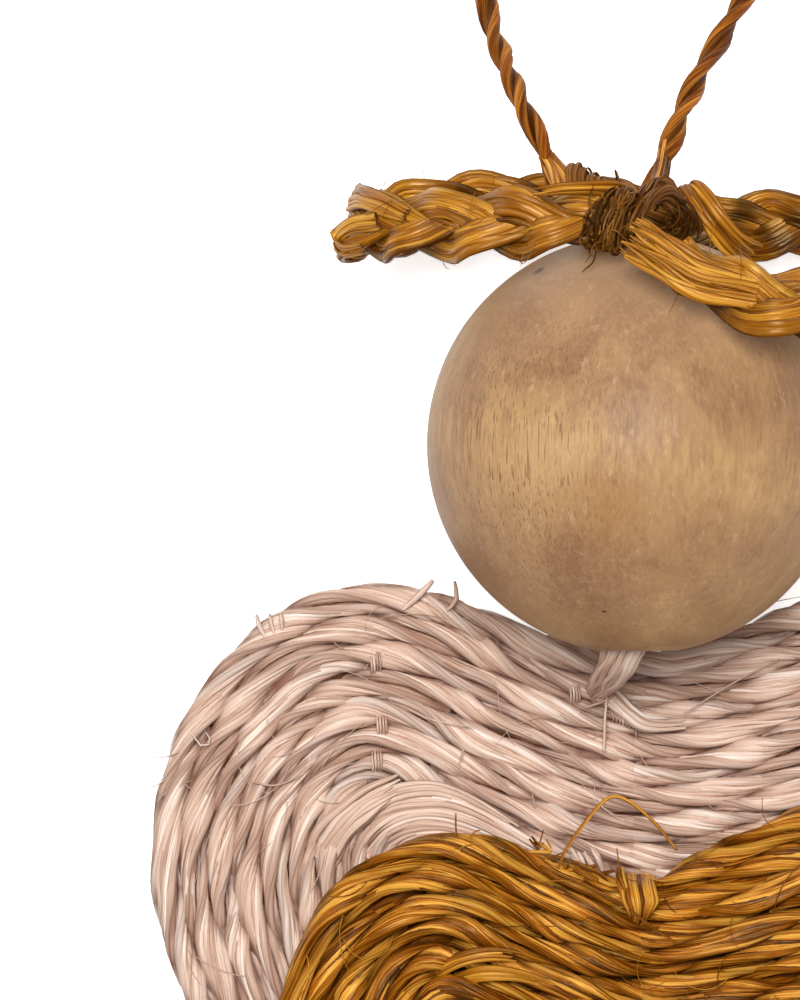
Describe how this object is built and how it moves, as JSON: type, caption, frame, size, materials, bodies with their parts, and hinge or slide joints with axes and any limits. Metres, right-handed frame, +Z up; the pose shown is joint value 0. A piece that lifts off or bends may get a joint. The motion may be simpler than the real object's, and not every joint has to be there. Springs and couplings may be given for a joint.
{
  "type": "angel ornament",
  "caption": "Hanging angel ornament: a round wooden bead head with a plaited halo ring over heart-shaped mats of plaited fibre for wings and robe, on a loop of twisted cord.",
  "frame": {"origin": "on the surface that the ornament lies on, under the middle of its length and width, measured without the hanging cord", "axes": "+Z up out of the ornament's front, +Y from the tip of the hearts towards the head and the hanging loop, +X towards the viewer's right when it is seen from the front"},
  "size_m": [0.0582, 0.1291, 0.0256],
  "materials": {
    "bead_wood": "smooth, satin, unstained light wood",
    "blush_fibre": "dyed plant fibre with a silky sheen, plaited",
    "golden_fibre": "dyed plant fibre with a silky sheen, plaited",
    "halo_fibre": "dyed plant fibre with a silky sheen, plaited flat",
    "dark_thread": "thin dark thread, wound tight",
    "cord_fibre": "two-ply twisted fibre cord, slightly waxy"
  },
  "bodies": {
    "root": {"bead_head": "bead_wood", "wing_heart": "blush_fibre", "body_heart": "golden_fibre", "halo_ring": "halo_fibre", "halo_tie": "dark_thread", "cord_knot": "dark_thread", "hanging_cord": "cord_fibre", "neck_tie": "blush_fibre", "body_tie": "golden_fibre"}
  },
  "joints": []
}
